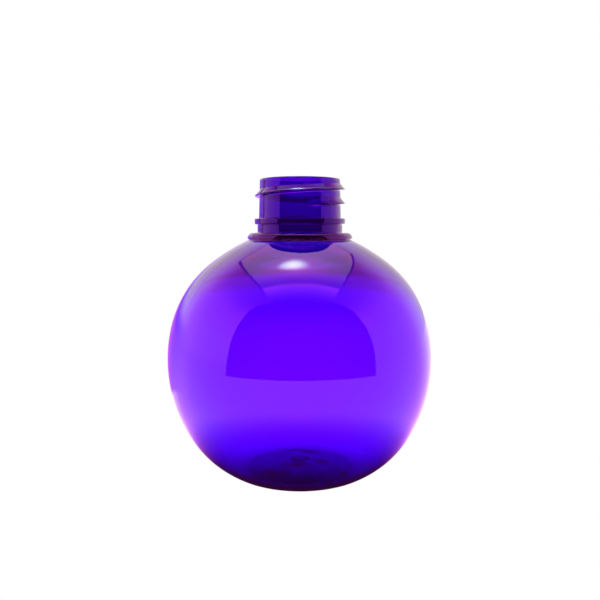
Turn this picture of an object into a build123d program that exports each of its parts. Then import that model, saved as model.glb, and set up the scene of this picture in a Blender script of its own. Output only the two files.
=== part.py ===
from build123d import *
import os
from math import acos, atan, cos, degrees, radians, sin

# A ball-shaped shampoo bottle, blown in one piece from clear violet plastic, with a screw neck.
# Millimetres. The origin is the centre of the standing ring, +Z is the neck's axis, -Y the front.
# An angle of the wall is its normal's, from level: 0 at the widest place, 90 straight up.

# Body, outside: tangent arcs from the standing ring up to the ledge
widest_radius = 40.5
belly_arc = 44.0
belly_top_angle = 13.4
belly_bottom_angle = -32.0
shoulder_arc = 34.5
shoulder_top_angle = 52.4
flare_arc = 60.0
lower_arc = 32.6
lower_bottom_angle = -60.8
heel_arc = 9.0

# Base: a flat standing ring round a shallow push-up with the gate mark at its centre
ring_width = 1.8
ring_round = 1.5
push_up_height = 2.0
gate_radius = 2.2
gate_height = 0.5

# Wall: thin at the belly, thicker where the plastic stretched less: shoulder, heel and base
body_wall = 0.8
base_wall = 1.6
shoulder_gather = 2.0
heel_gather = 0.3

# Neck, from the rim down
bore_radius = 10.85
neck_wall = 1.35
rim_round = 0.3
rim_to_bead = 11.85
neck_draft = 1.45
bead_height = 1.75
bead_width = 1.3
bead_round = 0.25
bead_to_ledge = 2.5
neck_step = 0.45
ledge_width = 3.05
ledge_height = 2.0
ledge_top_round = 1.6
ledge_foot_round = 0.3
ledge_overhang = 0.7
mouth_round = 3.5

# Screw thread: a right-hand buttress, steep below and sloped above, that fades out at both ends
thread_pitch = 4.233
thread_turns = 1.5
thread_depth = 1.45
thread_crest = 0.4
upper_flank_angle = 44.0
lower_flank_angle = 10.0
rim_to_thread = 1.9
thread_start_angle = -90.0
fade_angle = 75.0
thread_sink = 0.45
sections_per_turn = 24

# Radii and heights that follow
rim_radius = bore_radius + neck_wall
bead_root_radius = rim_radius + rim_to_bead * sin(radians(neck_draft))
foot_radius = bead_root_radius + neck_step
ledge_radius = foot_radius + ledge_width
collar_radius = ledge_radius - ledge_overhang


def normal(angle):
    """Unit vector of the wall's normal in the section, where X is the radius and Y the height."""
    return Vector(cos(radians(angle)), sin(radians(angle)))


def arc_run(start, start_angle, steps):
    """Tangent arcs from a start point, one for each (radius, angle that it ends at)."""
    arcs = []
    point = start
    angle = start_angle
    for radius, end_angle in steps:
        centre = point - normal(angle) * radius
        arcs.append(CenterArc(centre, radius, angle, end_angle - angle))
        point = centre + normal(end_angle) * radius
        angle = end_angle
    return arcs, point


def run_width(steps, start_angle):
    """How far a run of arcs moves outwards."""
    width = 0
    angle = start_angle
    for radius, end_angle in steps:
        width += radius * (cos(radians(end_angle)) - cos(radians(angle)))
        angle = end_angle
    return width


def floor_run(edge, rise, turn):
    """From a level edge inwards: an arc of radius turn, then a dome that is level on the axis."""
    tilt = 2 * degrees(atan(rise / edge.X))
    dome = edge.X / sin(radians(tilt)) - turn
    top = Vector(0, edge.Y + rise)
    rounding = CenterArc(edge + Vector(0, turn), turn, -90, -tilt)
    crown = CenterArc(top - Vector(0, dome), dome, 90, -tilt)
    return [rounding, crown], top


def close_to_axis(arcs, bottom, corners):
    """A face of a run of arcs that is closed through its last corners and down the axis."""
    lid = Polyline(*corners, Vector(0, corners[-1].Y), bottom)
    return make_face(Wire([edge for line in [*arcs, lid] for edge in line.edges()]))


def body_outline():
    """Outside of the body, up to the collar that carries the ledge."""
    rising = [
        (heel_arc, lower_bottom_angle),
        (lower_arc, belly_bottom_angle),
        (belly_arc, 0),
    ]
    ring_edge = Vector(widest_radius - run_width(rising, -90), 0)
    lower, widest = arc_run(ring_edge, -90, rising)
    closing = [(belly_arc, belly_top_angle), (shoulder_arc, shoulder_top_angle)]
    upper, shoulder_end = arc_run(widest, 0, closing)
    flare_cosine = normal(shoulder_top_angle).X - (shoulder_end.X - collar_radius) / flare_arc
    flare_end_angle = degrees(acos(flare_cosine))
    flare, collar = arc_run(shoulder_end, shoulder_top_angle, [(flare_arc, flare_end_angle)])
    inner_edge = ring_edge - Vector(ring_width, 0)
    base, bottom = floor_run(inner_edge, push_up_height, ring_round)
    ring = Line(inner_edge, ring_edge)
    arcs = [*base, ring, *lower, *upper, *flare]
    return close_to_axis(arcs, bottom, [collar]), widest, collar.Y


def void_outline(widest, rim_height):
    """Inside of the body and the bore, with its rounded mouth into the body."""
    inner_widest = widest - Vector(body_wall, 0)
    closing = [
        (belly_arc - body_wall, belly_top_angle),
        (shoulder_arc - body_wall - shoulder_gather, shoulder_top_angle),
    ]
    upper, shoulder_end = arc_run(inner_widest, 0, closing)
    inner_flare = flare_arc - body_wall
    flare_centre = shoulder_end - normal(shoulder_top_angle) * inner_flare
    mouth_reach = bore_radius + mouth_round - flare_centre.X
    mouth_angle = degrees(acos(mouth_reach / (inner_flare + mouth_round)))
    flare, _ = arc_run(shoulder_end, shoulder_top_angle, [(inner_flare, mouth_angle)])
    mouth_centre = flare_centre + normal(mouth_angle) * (inner_flare + mouth_round)
    mouth = CenterArc(mouth_centre, mouth_round, 180, mouth_angle)
    bore_foot = mouth_centre - Vector(mouth_round, 0)

    inner_heel = heel_arc - body_wall - heel_gather
    falling = [
        (belly_arc - body_wall, belly_bottom_angle),
        (lower_arc - body_wall - heel_gather, lower_bottom_angle),
        (inner_heel, -90),
    ]
    lower, inner_edge = arc_run(inner_widest, 0, falling)
    floor_rise = push_up_height + base_wall - inner_edge.Y
    floor, bottom = floor_run(inner_edge, floor_rise, inner_heel)
    arcs = [*floor, *lower, *upper, *flare, mouth]
    rim = Vector(bore_radius, rim_height)
    return close_to_axis(arcs, bottom, [bore_foot, rim]), bore_foot.Y


def ring_section(outer, bottom, top, foot_round, top_round):
    """Section of a ring round the neck, from the axis out, with its two outer corners rounded."""
    section = make_face(Polyline((0, bottom), (outer, bottom), (outer, top), (0, top), close=True))
    foot_corner = section.vertices().group_by(Axis.Y)[0].sort_by(Axis.X)[-1]
    section = fillet(foot_corner, foot_round)
    top_corner = section.vertices().group_by(Axis.Y)[-1].sort_by(Axis.X)[-1]
    return fillet(top_corner, top_round)


def neck_outline(collar_height):
    """Outside of the neck: wall, transfer bead and support ledge, as one filled section."""
    ledge_top = collar_height + ledge_height
    bead_bottom = ledge_top + bead_to_ledge
    bead_top = bead_bottom + bead_height
    rim_height = bead_top + rim_to_bead
    wall = make_face(
        Polyline(
            (0, ledge_top), (foot_radius, ledge_top), (foot_radius, bead_bottom),
            (bead_root_radius, bead_top), (rim_radius, rim_height), (0, rim_height), close=True,
        )
    )
    rim_corner = wall.vertices().group_by(Axis.Y)[-1].sort_by(Axis.X)[-1]
    wall = fillet(rim_corner, rim_round)
    bead_radius = bead_root_radius + bead_width
    bead = ring_section(bead_radius, bead_bottom, bead_top, bead_round, bead_round)
    ledge = ring_section(ledge_radius, collar_height, ledge_top, ledge_foot_round, ledge_top_round)
    return wall + bead + ledge, rim_height


def fade(angle, last_angle):
    """Share of the thread's full depth at an angle: none at its ends, smooth in between."""
    share = min(1, angle / fade_angle, (last_angle - angle) / fade_angle)
    return share * share * (3 - 2 * share)


def thread(rim_height):
    """The screw thread, lofted through sections that turn and climb round the neck."""
    last_angle = 360 * thread_turns
    start_height = rim_height - rim_to_thread - thread_pitch * thread_turns
    upper_slope = sin(radians(upper_flank_angle)) / cos(radians(upper_flank_angle))
    lower_slope = sin(radians(lower_flank_angle)) / cos(radians(lower_flank_angle))
    half_crest = thread_crest / 2
    sunk_crest = rim_radius - thread_sink
    root = sunk_crest - thread_sink
    sections = []
    steps = round(sections_per_turn * thread_turns)
    for step in range(steps + 1):
        angle = last_angle * step / steps
        height = start_height + thread_pitch * angle / 360
        crest = sunk_crest + (thread_depth + thread_sink) * fade(angle, last_angle)
        profile = Polyline(
            (root, -half_crest - (crest - root) * lower_slope),
            (crest, -half_crest),
            (crest, half_crest),
            (root, half_crest + (crest - root) * upper_slope),
            close=True,
        )
        outward = Vector(1, 0, 0).rotate(Axis.Z, thread_start_angle + angle)
        place = Plane(origin=(0, 0, height), x_dir=outward, z_dir=outward.cross(Vector(0, 0, 1)))
        sections.append(place * make_face(profile))
    return loft(sections)


def bottle():
    """The whole bottle: one turned section and the thread."""
    body, widest, collar_height = body_outline()
    neck, rim_height = neck_outline(collar_height)
    void, bore_foot = void_outline(widest, rim_height)
    gate_top = push_up_height + base_wall / 2
    gate = make_face(
        Polyline(
            (0, push_up_height - gate_height), (gate_radius, push_up_height - gate_height),
            (gate_radius, gate_top), (0, gate_top), close=True,
        )
    )
    section = body + neck + gate - void
    bore_edge = section.vertices().group_by(Axis.Y)[-1].sort_by(Axis.X)[0]
    section = fillet(bore_edge, rim_round)
    turned = revolve(Plane.XZ * section, Axis.Z)
    print(f"widest at {widest.Y:.2f}, collar {collar_height:.2f}, rim {rim_height:.2f},"
          f" bore from {bore_foot:.2f}")
    return turned + thread(rim_height)


os.makedirs("parts", exist_ok=True)
whole = bottle()
solid = whole.solids()[0]
solid.label = "bottle"
print(f"solids {len(whole.solids())}, valid {solid.is_valid}, volume {solid.volume:.0f} mm3")
export_step(solid, "parts/bottle.step")
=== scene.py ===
from math import acos, atan, ceil, cos, degrees, pi, radians, sin, tan

import bpy
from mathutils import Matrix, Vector


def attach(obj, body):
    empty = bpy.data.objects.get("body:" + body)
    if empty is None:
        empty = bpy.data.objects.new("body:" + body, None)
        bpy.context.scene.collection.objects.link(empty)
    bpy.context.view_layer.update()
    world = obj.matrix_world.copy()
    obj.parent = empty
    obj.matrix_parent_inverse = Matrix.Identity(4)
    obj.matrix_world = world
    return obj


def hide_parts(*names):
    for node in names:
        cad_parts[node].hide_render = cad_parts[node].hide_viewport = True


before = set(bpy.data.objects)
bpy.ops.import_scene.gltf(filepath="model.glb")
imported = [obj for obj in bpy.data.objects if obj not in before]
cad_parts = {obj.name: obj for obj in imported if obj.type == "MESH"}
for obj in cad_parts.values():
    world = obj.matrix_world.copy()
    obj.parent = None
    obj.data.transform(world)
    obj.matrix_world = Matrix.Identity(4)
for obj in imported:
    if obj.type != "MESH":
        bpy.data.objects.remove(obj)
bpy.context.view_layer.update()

# A ball-shaped shampoo bottle, blown from clear violet PET, with a bare screw neck.
# Sizes are millimetres until they reach Blender, which works in metres.
# An angle of the wall is its normal's, from level: 0 at the widest place, 90 straight up.
MM = 0.001

# Body, outside: tangent arcs from the standing ring up to the ledge
WIDEST_RADIUS = 40.5
BELLY_ARC = 44.0
BELLY_TOP_ANGLE = 13.4
BELLY_BOTTOM_ANGLE = -32.0
SHOULDER_ARC = 34.5
SHOULDER_TOP_ANGLE = 52.4
FLARE_ARC = 60.0
LOWER_ARC = 32.6
LOWER_BOTTOM_ANGLE = -60.8
HEEL_ARC = 9.0

# Base: a flat standing ring round a shallow push-up with the gate mark at its centre
RING_WIDTH = 1.8
RING_ROUND = 1.5
PUSH_UP_HEIGHT = 2.0
GATE_RADIUS = 2.2
GATE_HEIGHT = 0.5
GATE_ROUND = 0.2

# Wall: thin at the belly, thicker where the plastic stretched less: shoulder, heel and base
BODY_WALL = 0.8
BASE_WALL = 1.6
SHOULDER_GATHER = 2.0
HEEL_GATHER = 0.3

# Close under the ledge the inside is nearly straight, so the wall gets thinner towards the collar
COLLAR_THINNING_ANGLE = 58.5
COLLAR_INNER_ARC = 400.0

# Neck, from the rim down
BORE_RADIUS = 10.85
NECK_WALL = 1.35
RIM_ROUND = 0.3
RIM_TO_BEAD = 11.85
NECK_DRAFT = 1.45
BEAD_HEIGHT = 1.75
BEAD_WIDTH = 1.3
BEAD_ROUND = 0.25
BEAD_TO_LEDGE = 2.5
NECK_STEP = 0.45
LEDGE_WIDTH = 3.05
LEDGE_HEIGHT = 2.0
LEDGE_TOP_ROUND = 1.6
LEDGE_FOOT_ROUND = 0.3
LEDGE_OVERHANG = 0.7
MOUTH_ROUND = 3.5
INNER_CORNER_ROUND = 0.18

# Screw thread: a right-hand buttress that fades out at both ends
THREAD_PITCH = 4.233
THREAD_TURNS = 1.5
THREAD_DEPTH = 1.45
THREAD_CREST = 0.4
UPPER_FLANK_ANGLE = 44.0
LOWER_FLANK_ANGLE = 10.0
RIM_TO_THREAD = 1.9
FADE_ANGLE = 75.0
THREAD_START_ANGLE = -90.0
CREST_ROUND = 0.2
LOWER_FOOT_ROUND = 0.2
UPPER_FOOT_ROUND = 0.3

# The upper flank falls steeply below the crest, bends, and runs out a little further than the angle
FLANK_BEND_RISE = 0.35
FLANK_BEND_DROP = 0.42
FLANK_BEND_ROUND = 0.3
FLANK_SPREAD = 0.15

# Parting lines of the neck's mould, as columns of the mesh, and the ridge that they leave
COLUMNS = 240
SEAM_COLUMNS = (80, 200)
SEAM_RIDGE = 0.2
SEAM_HALF_WIDTH_SHARE = 0.45
BODY_SEAM_SHARE = 0.08

# Unevenness of the inside of the base
RIPPLE_HEIGHT = 0.8
RIPPLE_LENGTH = 9.0
RIPPLE_REACH = 11.0
RIPPLE_SEED = 5.0

# Darker, redder spots of the base round the gate: centre, then half length and half width
GATE_SPOTS = [
    ((-0.3, -6.0), (3.2, 1.4)),
    ((6.6, -3.0), (2.4, 1.2)),
    ((-9.2, -11.0), (5.0, 2.6)),
    ((-4.8, -4.8), (0.8, 0.8)),
    ((13.4, -9.4), (1.2, 1.0)),
]
SPOT_GRAIN = 3.0
SPOT_TOP = 5.0

# Spacing of the section's rows, and the extra rows of flat stretches as shares of their width
BODY_STEP = 1.15
ROUNDING_STEP = 0.35
SUPPORT = 0.14
LEAST_STEPS = 3
RING_ROWS = (0.15, 0.5, 0.85)
THREAD_GAP_ROWS = (0.25, 0.5, 0.75)
LEDGE_LEAD = 0.05
MERGE_DISTANCE = 0.002

# Radii and heights that follow
RIM_RADIUS = BORE_RADIUS + NECK_WALL
DRAFT_SLOPE = tan(radians(NECK_DRAFT))
BEAD_ROOT_RADIUS = RIM_RADIUS + RIM_TO_BEAD * sin(radians(NECK_DRAFT))
FOOT_RADIUS = BEAD_ROOT_RADIUS + NECK_STEP
LEDGE_RADIUS = FOOT_RADIUS + LEDGE_WIDTH
COLLAR_RADIUS = LEDGE_RADIUS - LEDGE_OVERHANG
BEAD_RADIUS = BEAD_ROOT_RADIUS + BEAD_WIDTH
CREST_RADIUS = RIM_RADIUS + THREAD_DEPTH

# Plastic: strength of its dye per metre of a ray's path, and where up the neck its gloss is painted
# bluer
DYE_DENSITY = 3427.0
PET_IOR = 1.575
PET_ROUGHNESS = 0.02
NECK_PAINTED_GLOSS_FROM = 71.0
NECK_PAINTED_GLOSS_FULL = 75.0

# Camera, level with the ledge and tipped down to the body
CAMERA_DISTANCE = 200.0
CAMERA_HEIGHT = 74.1
CAMERA_TILT = 5.9
FOCAL_PIXELS = 650.1
PHOTO_PIXELS = 600
SENSOR_WIDTH = 36

# Table, and the bottle's shade painted on it: centre, distances from there where it lifts and is gone
TABLE_HALF = 3000.0
TABLE_DROP = 0.1
SHADE_CENTRE = (0.0, -20.0, 0.0)
SHADE_IN_GLOSS = (26.0, 68.0)
SHADE_SEEN_THROUGH = (4.0, 38.0)
SHADE_STRETCH = (0.42, 1.0, 1.0)

# Dark opening behind the camera: part of a cylinder, under an arch of (degrees from front, height)
OPENING_RADIUS = 280.0
OPENING_FOOT = 0.5
OPENING_FADE_HEIGHT = 330.0
OPENING_ARCH = [
    (-58, 4), (-56.5, 80), (-55.5, 166), (-53.5, 269), (-47, 345), (-36, 400), (-20, 451), (0, 480),
    (20, 467), (38, 418), (48, 350), (55, 269), (58, 171), (59, 94), (59.4, 3),
]

# Diffuser overhead: side edges from rear to front, the dimmer strip in front of it, the dark seams
DIFFUSER_HEIGHT = 300.0
DIFFUSER_LEFT = [(-84, 209), (-168, 192), (-150, 50), (-128, -67), (-120, -121), (-108, -190)]
DIFFUSER_RIGHT = [(98, 224), (142, 210), (145, 140), (136, -67), (130, -108), (116, -190)]
DIFFUSER_EDGE = -76.0
STRIP_START = -190.0
STRIP_END = -85.0
SEAM_DROP = 0.5
SEAM_HALF_WIDTHS = (3, 6, 3.5, 3.5, 2.5)

# Lamp behind the diffuser: the centre of its bright core, and of the glow round it
LAMP_CORE = (-18.0, 28.0, 300.0)
LAMP_CORE_REACH = 32.0
LAMP_GLOW = (-12.0, 10.0, 300.0)
LAMP_GLOW_REACH = 50.0
LAMP_STRETCH = (0.65, 1.0, 0.0)

# Backdrop, by the height of a ray's direction: the dark bar across it
BAR_MIDDLE = 0.068
BAR_FULL = 0.011
BAR_END = 0.018

# Where the flag on the left hangs, as a direction from the bottle
FLAG_WAY = (-0.5, 0.866, 0.0)


def linear(hex_colour, brightness=1.0):
    """An sRGB hex colour as a linear RGBA, brighter than white where the brightness is over 1."""
    channels = [int(hex_colour[i:i + 2], 16) / 255 for i in (1, 3, 5)]
    straight = [c / 12.92 if c <= 0.04045 else ((c + 0.055) / 1.055) ** 2.4 for c in channels]
    return [c * brightness for c in straight] + [1.0]


WHITE = linear("#ffffff")


def add(tree, kind, inputs=None, **settings):
    """Adds a node, with its settings, and its inputs linked to a socket or a node, or filled."""
    node = tree.nodes.new(kind)
    for name, value in settings.items():
        setattr(node, name, value)
    for name, value in (inputs or {}).items():
        if isinstance(value, bpy.types.Node):
            value = value.outputs[0]
        if isinstance(value, bpy.types.NodeSocket):
            tree.links.new(value, node.inputs[name])
        else:
            node.inputs[name].default_value = value
    return node


def metres(place):
    """A place in millimetres as Blender's metres."""
    return tuple(value * MM for value in place)


# The section of the wall
def normal(angle):
    """Unit vector of the wall's normal in the section: radius, then height."""
    return Vector((cos(radians(angle)), sin(radians(angle))))


def arc_points(centre, radius, start, end, step):
    """Points along an arc, both ends included, no further apart than step."""
    count = max(LEAST_STEPS, ceil(abs(radians(end - start)) * radius / step))
    return [centre + normal(start + (end - start) * i / count) * radius for i in range(count + 1)]


def run_points(start, start_angle, steps):
    """Points along tangent arcs from a start point, one arc for each (radius, end angle)."""
    points = [start]
    angle = start_angle
    for radius, end_angle in steps:
        centre = points[-1] - normal(angle) * radius
        points += arc_points(centre, radius, angle, end_angle, BODY_STEP)[1:]
        angle = end_angle
    return points


def run_width(steps, start_angle):
    """How far a run of arcs moves outwards."""
    width = 0
    angle = start_angle
    for radius, end_angle in steps:
        width += radius * (cos(radians(end_angle)) - cos(radians(angle)))
        angle = end_angle
    return width


def corner_turns(corners):
    """For each inner corner of a line: the ways back and on, and half of the angle between them."""
    turns = []
    for (earlier, _), (corner, _), (later, _) in zip(corners, corners[1:], corners[2:]):
        before = (earlier - corner).normalized()
        after = (later - corner).normalized()
        half = acos(max(-1.0, min(1.0, before.dot(after)))) / 2
        turns.append((before, after, half))
    return turns


def rounded(corners):
    """A line of straight stretches whose inner corners, given as (point, radius), are arcs."""
    turns = corner_turns(corners)
    reaches = [radius / tan(half) for (_, radius), (_, _, half) in zip(corners[1:], turns)]
    reaches = [0.0] + reaches + [0.0]
    points = [corners[0][0]]
    for i, (before, after, half) in enumerate(turns, start=1):
        corner, radius = corners[i]
        reach = reaches[i]
        centre = corner + (before + after).normalized() * radius / sin(half)
        first = corner + before * reach - centre
        last = corner + after * reach - centre
        turn = abs(first.angle_signed(last))
        count = max(LEAST_STEPS, ceil(turn * radius / ROUNDING_STEP))
        spaces = [(corners[j][0] - corner).length - reach - reaches[j] for j in (i - 1, i + 1)]
        margins = [min(SUPPORT, space / 3) for space in spaces]
        points.append(corner + before * (reach + margins[0]))
        for j in range(count + 1):
            share = j / count
            weights = sin((1 - share) * turn), sin(share * turn)
            points.append(centre + (first * weights[0] + last * weights[1]) / sin(turn))
        points.append(corner + after * (reach + margins[1]))
    return points + [corners[-1][0]]


def floor_points(edge, rise, turn):
    """From a level edge inwards: an arc of radius turn, then a dome that is level on the axis."""
    tilt = 2 * degrees(atan(rise / edge.x))
    dome = edge.x / sin(radians(tilt)) - turn
    top = edge.y + rise
    rounding = arc_points(edge + Vector((0, turn)), turn, -90, -90 - tilt, ROUNDING_STEP)
    crown = arc_points(Vector((0, top - dome)), dome, 90 - tilt, 90, BODY_STEP)
    return rounding + crown[1:], dome


def gate_points(dome):
    """The gate mark: a low round plug on the push-up, from the axis out."""
    face = PUSH_UP_HEIGHT - GATE_HEIGHT
    foot = PUSH_UP_HEIGHT - dome + (dome ** 2 - GATE_RADIUS ** 2) ** 0.5
    return rounded([
        (Vector((0, face)), 0),
        (Vector((GATE_RADIUS, face)), GATE_ROUND),
        (Vector((GATE_RADIUS, foot - GATE_HEIGHT / 4)), 0),
    ])


def outer_body():
    """The outside from the gate mark to the collar under the ledge."""
    rising = [(HEEL_ARC, LOWER_BOTTOM_ANGLE), (LOWER_ARC, BELLY_BOTTOM_ANGLE), (BELLY_ARC, 0)]
    ring_edge = Vector((WIDEST_RADIUS - run_width(rising, -90), 0))
    lower = run_points(ring_edge, -90, rising)
    widest = lower[-1]
    closing = [(BELLY_ARC, BELLY_TOP_ANGLE), (SHOULDER_ARC, SHOULDER_TOP_ANGLE)]
    upper = run_points(widest, 0, closing)
    flare_cosine = cos(radians(SHOULDER_TOP_ANGLE)) - (upper[-1].x - COLLAR_RADIUS) / FLARE_ARC
    flare = run_points(upper[-1], SHOULDER_TOP_ANGLE, [(FLARE_ARC, degrees(acos(flare_cosine)))])
    inner_edge = ring_edge - Vector((RING_WIDTH, 0))
    base, dome = floor_points(inner_edge, PUSH_UP_HEIGHT, RING_ROUND)
    gate = gate_points(dome)
    outwards = [point for point in reversed(base) if point.x > GATE_RADIUS]
    ring = [inner_edge.lerp(ring_edge, share) for share in RING_ROWS]
    return gate + outwards + ring + lower + upper[1:] + flare[1:], widest


def neck_foot(collar):
    """The outside from the collar over the ledge and the bead to the foot of the thread's wall."""
    ledge_top = collar.y + LEDGE_HEIGHT
    bead_foot = ledge_top + BEAD_TO_LEDGE
    bead_top = bead_foot + BEAD_HEIGHT
    rim_height = bead_top + RIM_TO_BEAD
    points = rounded([
        (collar + Vector((LEDGE_LEAD, 0)), 0),
        (Vector((LEDGE_RADIUS, collar.y)), LEDGE_FOOT_ROUND),
        (Vector((LEDGE_RADIUS, ledge_top)), LEDGE_TOP_ROUND),
        (Vector((FOOT_RADIUS, ledge_top)), INNER_CORNER_ROUND),
        (Vector((FOOT_RADIUS, bead_foot)), INNER_CORNER_ROUND),
        (Vector((BEAD_RADIUS, bead_foot)), BEAD_ROUND),
        (Vector((BEAD_RADIUS, bead_top)), BEAD_ROUND),
        (Vector((BEAD_ROOT_RADIUS, bead_top)), INNER_CORNER_ROUND),
        (Vector((RIM_RADIUS, rim_height)), 0),
    ])
    return points[:-2], rim_height


def thread_rows(rim_height):
    """The thread's profile over one pitch: (height at angle zero, share of its full depth)."""
    depth = THREAD_DEPTH
    half_crest = THREAD_CREST / 2
    low_foot = -half_crest - depth * tan(radians(LOWER_FLANK_ANGLE))
    high_foot = half_crest + depth * tan(radians(UPPER_FLANK_ANGLE)) + FLANK_SPREAD
    start = low_foot - LOWER_FOOT_ROUND - 2 * SUPPORT
    profile = rounded([
        (Vector((start, 0)), 0),
        (Vector((low_foot, 0)), LOWER_FOOT_ROUND),
        (Vector((-half_crest, depth)), CREST_ROUND),
        (Vector((half_crest, depth)), CREST_ROUND),
        (Vector((half_crest + FLANK_BEND_RISE, depth - FLANK_BEND_DROP)), FLANK_BEND_ROUND),
        (Vector((high_foot, 0)), UPPER_FOOT_ROUND),
        (Vector((start + THREAD_PITCH, 0)), 0),
    ])
    gap_end = profile.pop()
    gap = [profile[-1].lerp(gap_end, share) for share in THREAD_GAP_ROWS]
    centre = rim_height - RIM_TO_THREAD - THREAD_PITCH * THREAD_TURNS
    return [(centre + point.x, point.y / depth) for point in profile + gap]


def rim_and_bore(rim_height, bore_foot):
    """From the top of the thread's wall over the sealing rim and down the bore."""
    return rounded([
        (Vector((RIM_RADIUS, rim_height - 3 * RIM_ROUND)), 0),
        (Vector((RIM_RADIUS, rim_height)), RIM_ROUND),
        (Vector((BORE_RADIUS, rim_height)), RIM_ROUND),
        (Vector((BORE_RADIUS, bore_foot)), 0),
    ])[1:]


def inner_wall(widest):
    """The inside: from the bore's foot over its rounded mouth and down the belly, then the floor."""
    inner_widest = widest - Vector((BODY_WALL, 0))
    closing = [
        (BELLY_ARC - BODY_WALL, BELLY_TOP_ANGLE),
        (SHOULDER_ARC - BODY_WALL - SHOULDER_GATHER, SHOULDER_TOP_ANGLE),
        (FLARE_ARC - BODY_WALL, COLLAR_THINNING_ANGLE),
    ]
    upper = run_points(inner_widest, 0, closing)
    collar_centre = upper[-1] - normal(COLLAR_THINNING_ANGLE) * COLLAR_INNER_ARC
    mouth_reach = BORE_RADIUS + MOUTH_ROUND - collar_centre.x
    mouth_angle = degrees(acos(mouth_reach / (COLLAR_INNER_ARC + MOUTH_ROUND)))
    upper += run_points(upper[-1], COLLAR_THINNING_ANGLE, [(COLLAR_INNER_ARC, mouth_angle)])[1:]
    mouth_centre = collar_centre + normal(mouth_angle) * (COLLAR_INNER_ARC + MOUTH_ROUND)
    mouth = arc_points(mouth_centre, MOUTH_ROUND, 180, 180 + mouth_angle, ROUNDING_STEP)

    inner_heel = HEEL_ARC - BODY_WALL - HEEL_GATHER
    falling = [
        (BELLY_ARC - BODY_WALL, BELLY_BOTTOM_ANGLE),
        (LOWER_ARC - BODY_WALL - HEEL_GATHER, LOWER_BOTTOM_ANGLE),
        (inner_heel, -90),
    ]
    lower = run_points(inner_widest, 0, falling)
    floor, _ = floor_points(lower[-1], PUSH_UP_HEIGHT + BASE_WALL - lower[-1].y, inner_heel)
    return mouth + upper[-2::-1] + lower[1:], floor[1:]


# A row's notes: does it wind, in which lap, and its shares of thread depth, seam ridge and ripple
ROW_NOTES = ("winds", "lap", "share", "seam", "ripple")


def section_rows():
    """Every row of the section in order: radius, height, then ROW_NOTES."""
    body, widest = outer_body()
    neck, rim_height = neck_foot(body[-1])
    inside, floor = inner_wall(widest)
    lip = rim_and_bore(rim_height, inside[0].y)
    rows = [(point.x, point.y, 0, 0, 0, BODY_SEAM_SHARE, 0) for point in body]
    rows += [(point.x, point.y, 0, 0, 0, 1, 0) for point in neck]
    foot = neck[-1].y
    head = lip[0].y
    profile = thread_rows(rim_height)
    laps_below = ceil((profile[-1][0] - foot) / THREAD_PITCH)
    laps_above = ceil((head - profile[0][0]) / THREAD_PITCH) - 1
    for lap in range(-laps_below, laps_above + 1):
        rows += [(0, height, 1, lap, share, 1, 0) for height, share in profile]
    rows += [(point.x, point.y, 0, 0, 0, 0, 0) for point in lip + inside[1:]]
    for point in floor:
        ripple = max(0, 1 - (point.x / RIPPLE_REACH) ** 2)
        rows.append((point.x, point.y, 0, 0, 0, 0, ripple))
    return rows, foot, head, rim_height


# The tree that turns the section
WALL_INPUTS = [
    ("Section", "NodeSocketGeometry"), ("Columns", "NodeSocketInt"),
    ("Start angle", "NodeSocketFloat"), ("Thread pitch", "NodeSocketFloat"),
    ("Thread turns", "NodeSocketFloat"), ("Fade turns", "NodeSocketFloat"),
    ("Crest radius", "NodeSocketFloat"), ("Thread foot", "NodeSocketFloat"),
    ("Thread head", "NodeSocketFloat"), ("Rim radius", "NodeSocketFloat"),
    ("Rim height", "NodeSocketFloat"), ("Draft slope", "NodeSocketFloat"),
    ("Seam ridge", "NodeSocketFloat"), ("Seam width", "NodeSocketFloat"),
    ("Ripple height", "NodeSocketFloat"), ("Ripple scale", "NodeSocketFloat"),
    ("Ripple seed", "NodeSocketFloat"), ("Merge distance", "NodeSocketFloat"),
    ("Material", "NodeSocketMaterial"),
]


def row_values(tree, section, row):
    """What the section says of a row: its radius, its height and the notes on it."""
    place = add(tree, "GeometryNodeSampleIndex", {
        "Geometry": section, "Value": add(tree, "GeometryNodeInputPosition"), "Index": row,
    }, data_type="FLOAT_VECTOR")
    place = add(tree, "ShaderNodeSeparateXYZ", {0: place}).outputs
    said = {"radius": place["X"], "height": place["Z"]}
    for name in ROW_NOTES:
        value = add(tree, "GeometryNodeInputNamedAttribute", {"Name": name}, data_type="FLOAT")
        said[name] = add(tree, "GeometryNodeSampleIndex", {
            "Geometry": section, "Value": value, "Index": row,
        }, data_type="FLOAT")
    return said


def parting_lines(tree, given, column):
    """Where each column stands, drawn up to a parting line beside it, and 1 on the line itself."""
    placed = column
    line = 0.0
    for seam_column in SEAM_COLUMNS:
        off = add(tree, "ShaderNodeMath", {0: column, 1: seam_column}, operation="SUBTRACT")
        far = add(tree, "ShaderNodeMath", {0: off}, operation="ABSOLUTE")
        beside = add(tree, "ShaderNodeMath", {0: far, 1: 1, 2: 0.1}, operation="COMPARE")
        on = add(tree, "ShaderNodeMath", {0: far, 1: 0, 2: 0.1}, operation="COMPARE")
        pull = add(tree, "ShaderNodeMath", {0: 1, 1: given["Seam width"]}, operation="SUBTRACT")
        pull = add(tree, "ShaderNodeMath", {0: pull, 1: off}, operation="MULTIPLY")
        pull = add(tree, "ShaderNodeMath", {0: pull, 1: beside}, operation="MULTIPLY")
        placed = add(tree, "ShaderNodeMath", {0: placed, 1: pull}, operation="SUBTRACT")
        line = add(tree, "ShaderNodeMath", {0: line, 1: on}, operation="ADD")
    return placed, line


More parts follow.
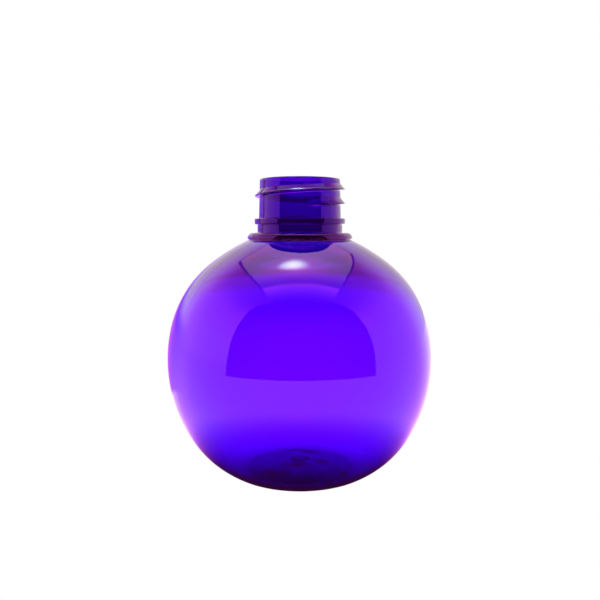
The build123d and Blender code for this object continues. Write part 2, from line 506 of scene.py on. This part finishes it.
def row_on_neck(tree, given, said, turn):
    """A row's height and radius: as the section says, or wound up the neck with the thread."""
    # Height: wound rows are kept between the wall's foot and head
    along = add(tree, "ShaderNodeMath", {0: said["lap"], 1: turn}, operation="ADD")
    wound = add(tree, "ShaderNodeMath", {
        0: along, 1: given["Thread pitch"], 2: said["height"],
    }, operation="MULTIPLY_ADD")
    kept = add(tree, "ShaderNodeClamp", {
        "Value": wound, "Min": given["Thread foot"], "Max": given["Thread head"],
    })
    height = add(tree, "ShaderNodeMix", {0: said["winds"], 2: said["height"], 3: kept})

    # Radius: the drafted wall, and the thread's depth on it, which fades at both ends
    below = add(tree, "ShaderNodeMath", {0: given["Rim height"], 1: height}, operation="SUBTRACT")
    wall = add(tree, "ShaderNodeMath", {
        0: below, 1: given["Draft slope"], 2: given["Rim radius"],
    }, operation="MULTIPLY_ADD")
    left = add(tree, "ShaderNodeMath", {0: given["Thread turns"], 1: along}, operation="SUBTRACT")
    near = add(tree, "ShaderNodeMath", {0: along, 1: left}, operation="MINIMUM")
    full = add(tree, "ShaderNodeMapRange", {
        "Value": near, "From Min": 0, "From Max": given["Fade turns"],
    }, interpolation_type="SMOOTHSTEP")
    depth = add(tree, "ShaderNodeMath", {0: given["Crest radius"], 1: wall}, operation="SUBTRACT")
    depth = add(tree, "ShaderNodeMath", {0: depth, 1: said["share"]}, operation="MULTIPLY")
    proud = add(tree, "ShaderNodeMath", {0: depth, 1: full, 2: wall}, operation="MULTIPLY_ADD")
    radius = add(tree, "ShaderNodeMix", {0: said["winds"], 2: said["radius"], 3: proud})
    return height, radius


def ripple_height(tree, given, flat, weight, height):
    """The height with the base's ripple: the plastic set there without touching a mould."""
    noise = add(tree, "ShaderNodeTexNoise", {
        "Vector": flat, "W": given["Ripple seed"], "Scale": given["Ripple scale"],
        "Detail": 1.0, "Distortion": 0.6,
    }, noise_dimensions="4D")
    lift = add(tree, "ShaderNodeMath", {0: noise, 1: 0.5}, operation="SUBTRACT")
    lift = add(tree, "ShaderNodeMath", {0: lift, 1: weight}, operation="MULTIPLY")
    return add(tree, "ShaderNodeMath", {
        0: lift, 1: given["Ripple height"], 2: height,
    }, operation="MULTIPLY_ADD")


def wall_tree():
    """Turns the section round the axis, and winds the thread's rows up the neck."""
    tree = bpy.data.node_groups.new("turned_wall", "GeometryNodeTree")
    for name, kind in WALL_INPUTS:
        tree.interface.new_socket(name, in_out="INPUT", socket_type=kind)
    tree.interface.new_socket("Wall", in_out="OUTPUT", socket_type="NodeSocketGeometry")
    given = add(tree, "NodeGroupInput").outputs

    # One column of points for each step round the axis, one point in it for each row
    size = add(tree, "GeometryNodeAttributeDomainSize", {"Geometry": given["Section"]})
    rows = size.outputs["Point Count"]
    edges = add(tree, "FunctionNodeIntegerMath", {0: given["Columns"], 1: 1}, operation="ADD")
    grid = add(tree, "GeometryNodeMeshGrid", {"Vertices X": edges, "Vertices Y": rows})
    index = add(tree, "GeometryNodeInputIndex")
    column = add(tree, "FunctionNodeIntegerMath", {0: index, 1: rows}, operation="DIVIDE_FLOOR")
    row = add(tree, "FunctionNodeIntegerMath", {0: index, 1: rows}, operation="MODULO")
    said = row_values(tree, given["Section"], row)

    # A parting line's own column stands proud
    placed, line = parting_lines(tree, given, column)
    turn = add(tree, "ShaderNodeMath", {0: placed, 1: given["Columns"]}, operation="DIVIDE")
    height, radius = row_on_neck(tree, given, said, turn)
    ridge = add(tree, "ShaderNodeMath", {0: line, 1: said["seam"]}, operation="MULTIPLY")
    radius = add(tree, "ShaderNodeMath", {
        0: ridge, 1: given["Seam ridge"], 2: radius,
    }, operation="MULTIPLY_ADD")

    # The point's place on its circle
    angle = add(tree, "ShaderNodeMath", {
        0: turn, 1: 2 * pi, 2: given["Start angle"],
    }, operation="MULTIPLY_ADD")
    circle = []
    for side in ("COSINE", "SINE"):
        share = add(tree, "ShaderNodeMath", {0: angle}, operation=side)
        circle.append(add(tree, "ShaderNodeMath", {0: share, 1: radius}, operation="MULTIPLY"))
    flat = add(tree, "ShaderNodeCombineXYZ", {0: circle[0], 1: circle[1]})
    height = ripple_height(tree, given, flat, said["ripple"], height)
    point = add(tree, "ShaderNodeCombineXYZ", {0: circle[0], 1: circle[1], 2: height})

    # Wrapped, closed at the last column and on the axis, and smooth
    wrapped = add(tree, "GeometryNodeSetPosition", {"Geometry": grid, "Position": point})
    joined = add(tree, "GeometryNodeMergeByDistance", {
        "Geometry": wrapped, "Distance": given["Merge distance"],
    })
    smooth = add(tree, "GeometryNodeSetShadeSmooth", {"Geometry": joined})
    real = add(tree, "GeometryNodeRealizeInstances", {"Geometry": smooth})
    done = add(tree, "GeometryNodeSetMaterial", {"Geometry": real, "Material": given["Material"]})
    add(tree, "NodeGroupOutput", {"Wall": done})
    return tree


def section_piece(rows):
    """The section's rows as loose points that carry their notes."""
    section = bpy.data.meshes.new("section")
    section.from_pydata([(row[0] * MM, 0, row[1] * MM) for row in rows], [], [])
    for column, name in enumerate(ROW_NOTES, start=2):
        attribute = section.attributes.new(name, "FLOAT", "POINT")
        attribute.data.foreach_set("value", [float(row[column]) for row in rows])
    source = bpy.data.objects.new("section", section)
    bpy.context.scene.collection.objects.link(source)
    return source


def bottle(material):
    """The whole bottle as one closed mesh."""
    rows, foot, head, rim_height = section_rows()
    source = section_piece(rows)
    tree = wall_tree()
    turning = source.modifiers.new("turned_wall", "NODES")
    turning.node_group = tree
    values = {
        "Columns": COLUMNS,
        "Start angle": radians(THREAD_START_ANGLE),
        "Thread pitch": THREAD_PITCH * MM,
        "Thread turns": THREAD_TURNS,
        "Fade turns": FADE_ANGLE / 360,
        "Crest radius": CREST_RADIUS * MM,
        "Thread foot": foot * MM,
        "Thread head": head * MM,
        "Rim radius": RIM_RADIUS * MM,
        "Rim height": rim_height * MM,
        "Draft slope": DRAFT_SLOPE,
        "Seam ridge": SEAM_RIDGE * MM,
        "Seam width": SEAM_HALF_WIDTH_SHARE,
        "Ripple height": RIPPLE_HEIGHT * MM,
        "Ripple scale": 1 / (RIPPLE_LENGTH * MM),
        "Ripple seed": RIPPLE_SEED,
        "Merge distance": MERGE_DISTANCE * MM,
        "Material": material,
    }
    for item in tree.interface.items_tree:
        if item.name in values:
            turning[item.identifier] = values[item.name]
    dg = bpy.context.evaluated_depsgraph_get()
    mesh = bpy.data.meshes.new_from_object(source.evaluated_get(dg), depsgraph=dg)
    bpy.data.objects.remove(source)
    mesh.name = "moulded_bottle"
    piece = bpy.data.objects.new("moulded_bottle", mesh)
    bpy.context.scene.collection.objects.link(piece)
    return piece


# Materials
def gate_spots(tree, place, height):
    """How much the base takes the spots' darker, redder colour: fully in the spots, with wandering
    edges, and not above it.
    """
    noise = add(tree, "ShaderNodeTexNoise", {
        "Vector": place, "Scale": 1 / (SPOT_GRAIN * MM), "Detail": 2.0,
    })
    wander = add(tree, "ShaderNodeMath", {0: noise, 1: 2.0, 2: -1.0}, operation="MULTIPLY_ADD")

    # Distance to the nearest spot's centre, where 1 is that spot's own edge
    nearest = 9.0
    for centre, half in GATE_SPOTS:
        off = add(tree, "ShaderNodeVectorMath", {
            0: place, 1: metres((*centre, 0)),
        }, operation="SUBTRACT")
        off = add(tree, "ShaderNodeVectorMath", {
            0: off, 1: (1 / (half[0] * MM), 1 / (half[1] * MM), 0),
        }, operation="MULTIPLY")
        reach = add(tree, "ShaderNodeVectorMath", {0: off}, operation="LENGTH").outputs["Value"]
        nearest = add(tree, "ShaderNodeMath", {0: nearest, 1: reach}, operation="MINIMUM")
    edge = add(tree, "ShaderNodeMath", {0: nearest, 1: wander}, operation="ADD")
    spotted = add(tree, "ShaderNodeMapRange", {
        "Value": edge, "From Min": 0.7, "From Max": 1.5, "To Min": 1.0, "To Max": 0.0,
    }, interpolation_type="SMOOTHSTEP")
    below = add(tree, "ShaderNodeMapRange", {
        "Value": height, "From Min": SPOT_TOP * MM, "From Max": (SPOT_TOP + 1) * MM,
        "To Min": 1.0, "To Max": 0.0,
    })
    return add(tree, "ShaderNodeMath", {0: spotted, 1: below}, operation="MULTIPLY")


def violet_pet():
    """Clear violet PET, stretch-blown against a polished mould: it shines like glass, and its
    colour is deeper where the light goes a longer way through the plastic."""
    material = bpy.data.materials.new("violet_pet_blown")
    material.use_nodes = True
    tree = material.node_tree
    tree.nodes.clear()
    place = add(tree, "ShaderNodeTexCoord").outputs["Object"]
    height = add(tree, "ShaderNodeSeparateXYZ", {0: place}).outputs["Z"]

    # Painted reflection: the neck's gloss is tinted bluer and weaker than the body's, on the same
    # plastic
    neck = add(tree, "ShaderNodeMapRange", {
        "Value": height, "From Min": NECK_PAINTED_GLOSS_FROM * MM, "From Max": NECK_PAINTED_GLOSS_FULL * MM,
    }, interpolation_type="SMOOTHSTEP")
    gloss = add(tree, "ShaderNodeMix", {
        0: neck, 6: linear("#ff89da"), 7: linear("#b33fff"),
    }, data_type="RGBA").outputs[2]

    # Round the gate the base's colour is darker and redder in spots
    colour = add(tree, "ShaderNodeMix", {
        0: gate_spots(tree, place, height), 6: linear("#b63fff"), 7: linear("#e7197c"),
    }, data_type="RGBA").outputs[2]
    surface = add(tree, "ShaderNodeBsdfPrincipled", {
        "Base Color": colour,
        "Roughness": PET_ROUGHNESS,
        "IOR": PET_IOR,
        "Transmission Weight": 1.0,
        "Specular Tint": gloss,
    })
    dye = add(tree, "ShaderNodeVolumeAbsorption", {
        "Color": linear("#c700df"),
        "Density": DYE_DENSITY,
    })
    add(tree, "ShaderNodeOutputMaterial", {"Surface": surface, "Volume": dye})
    return material


# The lit surfaces of the studio
def lit_material(name):
    """An empty material of the studio, and its tree."""
    material = bpy.data.materials.new(name)
    material.use_nodes = True
    material.node_tree.nodes.clear()
    return material, material.node_tree


def glow(name, colour):
    """A surface that gives off its own even light."""
    material, tree = lit_material(name)
    surface = add(tree, "ShaderNodeEmission", {"Color": linear(colour), "Strength": 1.0})
    add(tree, "ShaderNodeOutputMaterial", {"Surface": surface})
    return material


def walls_in_gloss(tree, way, flagged):
    """The colour that the gloss picks up from a direction: walls with less green towards the back
    and high up, nearly neutral straight behind, and a violet flag on the left."""
    sides = add(tree, "ShaderNodeSeparateXYZ", {0: way}).outputs
    green = add(tree, "ShaderNodeMapRange", {
        "Value": sides["Y"], "From Min": -0.7, "From Max": 0.5, "To Min": 0.76, "To Max": 0.38,
    })
    high = add(tree, "ShaderNodeMapRange", {
        "Value": sides["Z"], "From Min": 0.25, "From Max": 0.75, "To Min": 1.0, "To Max": 0.4,
    })
    green = add(tree, "ShaderNodeMath", {0: green, 1: high}, operation="MULTIPLY")
    walls = add(tree, "ShaderNodeCombineColor", {"Red": 1.0, "Green": green, "Blue": 1.25})
    behind = add(tree, "ShaderNodeMapRange", {
        "Value": sides["Y"], "From Min": 0.3, "From Max": 0.95,
    }, interpolation_type="SMOOTHSTEP")
    tint = add(tree, "ShaderNodeMix", {
        0: behind, 6: walls, 7: linear("#fff1f9"),
    }, data_type="RGBA").outputs[2]
    facing = add(tree, "ShaderNodeVectorMath", {
        0: way, 1: FLAG_WAY,
    }, operation="DOT_PRODUCT").outputs["Value"]
    flag = add(tree, "ShaderNodeMapRange", {
        "Value": facing, "From Min": 0.72, "From Max": 1.0,
    }, interpolation_type="SMOOTHSTEP")
    flag = add(tree, "ShaderNodeMath", {0: flag, 1: flagged}, operation="MULTIPLY")
    return add(tree, "ShaderNodeMix", {
        0: flag, 6: tint, 7: linear("#9f56ff", 1.3),
    }, data_type="RGBA").outputs[2]


def table_in_gloss(name):
    """The table as the gloss shows it: painted shade, dark and violet, near the foot, lit like the
    walls far off.
    """
    material, tree = lit_material(name)
    place = add(tree, "ShaderNodeTexCoord").outputs["Object"]
    # Painted shade: the table's light drops near the bottle's foot
    near, far = SHADE_IN_GLOSS
    off = add(tree, "ShaderNodeVectorMath", {
        0: place, 1: metres(SHADE_CENTRE),
    }, operation="SUBTRACT")
    away = add(tree, "ShaderNodeVectorMath", {0: off}, operation="LENGTH").outputs["Value"]
    clear = add(tree, "ShaderNodeMapRange", {
        "Value": away, "From Min": near * MM, "From Max": far * MM,
    }, interpolation_type="SMOOTHSTEP")
    strength = add(tree, "ShaderNodeMapRange", {"Value": clear, "To Min": 0.1, "To Max": 2.1})

    # The flag's image starts weak on the table and is full further off
    reach = add(tree, "ShaderNodeVectorMath", {0: place}, operation="LENGTH").outputs["Value"]
    flagged = add(tree, "ShaderNodeMapRange", {
        "Value": reach, "From Min": 100 * MM, "From Max": 115 * MM, "To Min": 0.4,
    }, interpolation_type="SMOOTHSTEP")
    way = add(tree, "ShaderNodeVectorMath", {0: off}, operation="NORMALIZE")
    walls = walls_in_gloss(tree, way, flagged)

    # Painted violet light: the table close to the foot is coloured as if lit through the dyed plastic
    colour = add(tree, "ShaderNodeMix", {
        0: clear, 6: linear("#da3fe7"), 7: walls,
    }, data_type="RGBA").outputs[2]
    surface = add(tree, "ShaderNodeEmission", {"Color": colour, "Strength": strength})
    add(tree, "ShaderNodeOutputMaterial", {"Surface": surface})
    return material


def table_seen_through_painted_shade(name):
    """The table as it is seen through the plastic: white, with a deep and wide painted shade at the
    foot.
    """
    material, tree = lit_material(name)
    place = add(tree, "ShaderNodeTexCoord").outputs["Object"]
    # Painted shade: the table's light drops almost to nothing near the bottle's foot
    near, far = SHADE_SEEN_THROUGH
    off = add(tree, "ShaderNodeVectorMath", {
        0: place, 1: metres(SHADE_CENTRE),
    }, operation="SUBTRACT")
    off = add(tree, "ShaderNodeVectorMath", {0: off, 1: SHADE_STRETCH}, operation="MULTIPLY")
    away = add(tree, "ShaderNodeVectorMath", {0: off}, operation="LENGTH").outputs["Value"]
    strength = add(tree, "ShaderNodeMapRange", {
        "Value": away, "From Min": near * MM, "From Max": far * MM, "To Min": 0.03, "To Max": 6.3,
    }, interpolation_type="SMOOTHSTEP")
    surface = add(tree, "ShaderNodeEmission", {"Color": WHITE, "Strength": strength})
    add(tree, "ShaderNodeOutputMaterial", {"Surface": surface})
    return material


def opening_glow(name):
    """The dark opening behind the camera, a little lighter towards the floor."""
    material, tree = lit_material(name)
    place = add(tree, "ShaderNodeTexCoord").outputs["Object"]
    height = add(tree, "ShaderNodeSeparateXYZ", {0: place}).outputs["Z"]
    strength = add(tree, "ShaderNodeMapRange", {
        "Value": height, "From Min": 0.0, "From Max": OPENING_FADE_HEIGHT * MM,
        "To Min": 0.55, "To Max": 0.0,
    })
    surface = add(tree, "ShaderNodeEmission", {"Color": linear("#ff59ff"), "Strength": strength})
    add(tree, "ShaderNodeOutputMaterial", {"Surface": surface})
    return material


def lamp_distance(tree, place, centre):
    """Distance from the lamp's centre, shorter across because the lamp is wider than deep."""
    off = add(tree, "ShaderNodeVectorMath", {0: place, 1: metres(centre)}, operation="SUBTRACT")
    off = add(tree, "ShaderNodeVectorMath", {0: off, 1: LAMP_STRETCH}, operation="MULTIPLY")
    return add(tree, "ShaderNodeVectorMath", {0: off}, operation="LENGTH").outputs["Value"]


def diffuser_glow(name):
    """The diffuser overhead: a soft lamp behind it, and a dimmer strip in front of its edge."""
    material, tree = lit_material(name)
    place = add(tree, "ShaderNodeTexCoord").outputs["Object"]
    depth = add(tree, "ShaderNodeSeparateXYZ", {0: place}).outputs["Y"]

    # Core of the lamp, and the glow that spreads round it and dims towards the front edge
    core = add(tree, "ShaderNodeMapRange", {
        "Value": lamp_distance(tree, place, LAMP_CORE), "From Min": 0.0,
        "From Max": LAMP_CORE_REACH * MM, "To Min": 8.0, "To Max": 0.0,
    }, interpolation_type="SMOOTHSTEP")
    fall = add(tree, "ShaderNodeMath", {
        0: lamp_distance(tree, place, LAMP_GLOW), 1: -LAMP_GLOW_REACH * MM,
    }, operation="DIVIDE")
    fall = add(tree, "ShaderNodeMath", {0: fall}, operation="EXPONENT")
    panel = add(tree, "ShaderNodeMath", {0: fall, 1: 6.0, 2: 1.15}, operation="MULTIPLY_ADD")
    forward = add(tree, "ShaderNodeMapRange", {
        "Value": depth, "From Min": STRIP_END * MM, "From Max": -20 * MM,
        "To Min": 0.6, "To Max": 1.0,
    })
    panel = add(tree, "ShaderNodeMath", {0: panel, 1: forward}, operation="MULTIPLY")

    # Strip in front of the diffuser's edge
    strip = add(tree, "ShaderNodeMapRange", {
        "Value": depth, "From Min": STRIP_START * MM, "From Max": STRIP_END * MM,
    })
    strip = add(tree, "ShaderNodeMath", {0: strip, 1: 2.0}, operation="POWER")
    strip = add(tree, "ShaderNodeMath", {0: strip, 1: 3.6}, operation="MULTIPLY")
    inside = add(tree, "ShaderNodeMapRange", {
        "Value": depth, "From Min": DIFFUSER_EDGE * MM, "From Max": (DIFFUSER_EDGE + 6) * MM,
    })
    strength = add(tree, "ShaderNodeMix", {0: inside, 2: strip, 3: panel})

    # Blue in front, warmer and then rosy towards the rear
    rear = add(tree, "ShaderNodeMapRange", {
        "Value": depth, "From Min": -60 * MM, "From Max": 60 * MM,
    })
    colour = add(tree, "ShaderNodeMix", {
        0: rear, 6: linear("#d786ff", 1.25), 7: linear("#ffe7f9"),
    }, data_type="RGBA").outputs[2]
    deep = add(tree, "ShaderNodeMapRange", {
        "Value": depth, "From Min": 85 * MM, "From Max": 160 * MM,
    })
    colour = add(tree, "ShaderNodeMix", {
        0: deep, 6: colour, 7: linear("#ffc1e1", 1.6),
    }, data_type="RGBA").outputs[2]
    even = add(tree, "ShaderNodeEmission", {"Color": colour, "Strength": strength})
    hot = add(tree, "ShaderNodeEmission", {"Color": linear("#9cffb6", 3.0), "Strength": core})
    surface = add(tree, "ShaderNodeAddShader", {0: even, 1: hot})
    add(tree, "ShaderNodeOutputMaterial", {"Surface": surface})
    return material


# The studio
def stage_mesh(name, points, faces, material, seen_by):
    """A surface of the studio, and the kinds of ray that see it."""
    mesh = bpy.data.meshes.new(name)
    mesh.from_pydata([Vector(point) * MM for point in points], [], faces)
    mesh.materials.append(material)
    piece = bpy.data.objects.new(name, mesh)
    bpy.context.scene.collection.objects.link(piece)
    for kind in ("camera", "diffuse", "glossy", "transmission", "shadow"):
        setattr(piece, "visible_" + kind, kind in seen_by)


def table():
    """The white floor for the camera, and what the gloss and the light in the plastic find there."""
    half = TABLE_HALF
    corners = [(-half, -half), (half, -half), (half, half), (-half, half)]
    layers = [
        ("floor", 0.0, glow("white_table", "#ffffff"), ("camera", "diffuse", "shadow")),
        ("floor_mirrored", TABLE_DROP, table_in_gloss("table_mirrored_painted_shade"), ("glossy",)),
        ("floor_seen_through", TABLE_DROP, table_seen_through_painted_shade("table_seen_through_painted_shade"), ("transmission",)),
    ]
    for name, drop, material, seen_by in layers:
        stage_mesh(name, [(x, y, -drop) for x, y in corners], [(0, 1, 2, 3)], material, seen_by)


def dark_opening():
    """The opening behind the camera, which only the gloss shows."""
    points = []
    for azimuth, top in OPENING_ARCH:
        side = OPENING_RADIUS * sin(radians(azimuth))
        depth = -OPENING_RADIUS * cos(radians(azimuth))
        points += [(side, depth, OPENING_FOOT), (side, depth, top)]
    faces = [(2 * i, 2 * i + 2, 2 * i + 3, 2 * i + 1) for i in range(len(OPENING_ARCH) - 1)]
    stage_mesh("dark_opening", points, faces, opening_glow("dark_opening"), ("glossy",))


def strip_along(points, half_widths, height):
    """A flat strip along a line of points, all at one height, with its half width at each."""
    sides = []
    for i, point in enumerate(points):
        before = Vector(points[max(0, i - 1)])
        after = Vector(points[min(len(points) - 1, i + 1)])
        across = (after - before).normalized().orthogonal() * half_widths[i]
        sides += [(*(Vector(point) + across), height), (*(Vector(point) - across), height)]
    faces = [(2 * i, 2 * i + 1, 2 * i + 3, 2 * i + 2) for i in range(len(points) - 1)]
    return sides, faces


def diffuser():
    """The diffuser overhead, and the dark seams along its two sides, which the gloss shows."""
    outline = DIFFUSER_LEFT + DIFFUSER_RIGHT[::-1]
    stage_mesh(
        "diffuser", [(x, y, DIFFUSER_HEIGHT) for x, y in outline], [tuple(range(len(outline)))],
        diffuser_glow("lit_diffuser"), ("glossy",),
    )
    seam_paint = glow("dark_seam", "#d850e8")
    for name, edge in (("seam_left", DIFFUSER_LEFT), ("seam_right", DIFFUSER_RIGHT)):
        line = edge[:len(SEAM_HALF_WIDTHS)]
        points, faces = strip_along(line, SEAM_HALF_WIDTHS, DIFFUSER_HEIGHT - SEAM_DROP)
        stage_mesh(name, points, faces, seam_paint, ("glossy",))


def backdrop(tree, sides, ray):
    """White where the camera sees it, and bright enough to light the dyed plastic from behind."""
    strength = add(tree, "ShaderNodeMix", {0: ray["Is Camera Ray"], 2: 5.2, 3: 1.0})

    # A dark bar across the backdrop, which the neck's wall bends up into the rim
    off = add(tree, "ShaderNodeMath", {0: sides["Z"], 1: BAR_MIDDLE}, operation="SUBTRACT")
    off = add(tree, "ShaderNodeMath", {0: off}, operation="ABSOLUTE")
    bar = add(tree, "ShaderNodeMapRange", {
        "Value": off, "From Min": BAR_FULL, "From Max": BAR_END, "To Min": 1.0, "To Max": 0.0,
    }, interpolation_type="SMOOTHSTEP")
    unseen = add(tree, "ShaderNodeMath", {0: 1.0, 1: ray["Is Camera Ray"]}, operation="SUBTRACT")
    bar = add(tree, "ShaderNodeMath", {0: bar, 1: unseen}, operation="MULTIPLY")
    colour = add(tree, "ShaderNodeMix", {
        0: bar, 6: WHITE, 7: linear("#7c95b3"),
    }, data_type="RGBA").outputs[2]
    return add(tree, "ShaderNodeBackground", {"Color": colour, "Strength": strength})


def lit_walls(tree, way, sides):
    """What the gloss shows: bright walls, a little brighter on the left, dimmer high up in front
    and straight behind."""
    overhead = add(tree, "ShaderNodeMapRange", {
        "Value": sides["Y"], "From Min": -0.5, "From Max": 0.1, "To Min": 0.35, "To Max": 1.55,
    })
    high = add(tree, "ShaderNodeMapRange", {
        "Value": sides["Z"], "From Min": 0.5, "From Max": 0.82, "To Min": 2.1, "To Max": overhead,
    }, interpolation_type="SMOOTHSTEP")
    across = add(tree, "ShaderNodeMapRange", {
        "Value": sides["X"], "From Min": -1.0, "From Max": 1.0, "To Min": 1.16, "To Max": 0.96,
    })
    back = add(tree, "ShaderNodeMapRange", {
        "Value": sides["Y"], "From Min": 0.5, "From Max": 0.95, "To Min": 1.0, "To Max": 0.54,
    }, interpolation_type="SMOOTHSTEP")
    strength = add(tree, "ShaderNodeMath", {0: high, 1: across}, operation="MULTIPLY")
    strength = add(tree, "ShaderNodeMath", {0: strength, 1: back}, operation="MULTIPLY")

    # The flag hangs low
    flagged = add(tree, "ShaderNodeMapRange", {
        "Value": sides["Z"], "From Min": 0.03, "From Max": 0.2, "To Min": 1.0, "To Max": 0.0,
    }, interpolation_type="SMOOTHSTEP")
    colour = walls_in_gloss(tree, way, flagged)
    return add(tree, "ShaderNodeBackground", {"Color": colour, "Strength": strength})


def surroundings():
    """The world: a white backdrop, and walls that only the gloss shows."""
    world = bpy.data.worlds.new("studio_white")
    bpy.context.scene.world = world
    world.use_nodes = True
    tree = world.node_tree
    tree.nodes.clear()
    ray = add(tree, "ShaderNodeLightPath").outputs
    way = add(tree, "ShaderNodeTexCoord").outputs["Generated"]
    sides = add(tree, "ShaderNodeSeparateXYZ", {0: way}).outputs

    # A ray that went through the plastic counts as glossy too, so those are taken off
    mirrored = add(tree, "ShaderNodeMath", {
        0: ray["Is Glossy Ray"], 1: ray["Is Transmission Ray"],
    }, operation="SUBTRACT", use_clamp=True)
    light = add(tree, "ShaderNodeMixShader", {
        0: mirrored, 1: backdrop(tree, sides, ray), 2: lit_walls(tree, way, sides),
    })
    add(tree, "ShaderNodeOutputWorld", {"Surface": light})


def camera():
    """The photograph's camera."""
    data = bpy.data.cameras.new("camera")
    data.sensor_width = SENSOR_WIDTH
    data.lens = FOCAL_PIXELS / PHOTO_PIXELS * SENSOR_WIDTH
    data.clip_start = 0.01
    data.clip_end = 20
    view = bpy.data.objects.new("camera", data)
    view.location = Vector((0, -CAMERA_DISTANCE, CAMERA_HEIGHT)) * MM
    view.rotation_euler = (radians(90 - CAMERA_TILT), 0, 0)
    bpy.context.scene.collection.objects.link(view)
    bpy.context.scene.camera = view


piece = bottle(violet_pet())
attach(piece, "root")
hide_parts("bottle")
table()
dark_opening()
diffuser()
surroundings()
camera()

# Rays turn many times in clear plastic, and white stays white
scene = bpy.context.scene
scene.view_settings.view_transform = "Standard"
scene.cycles.max_bounces = 24
scene.cycles.transmission_bounces = 24
scene.cycles.glossy_bounces = 12
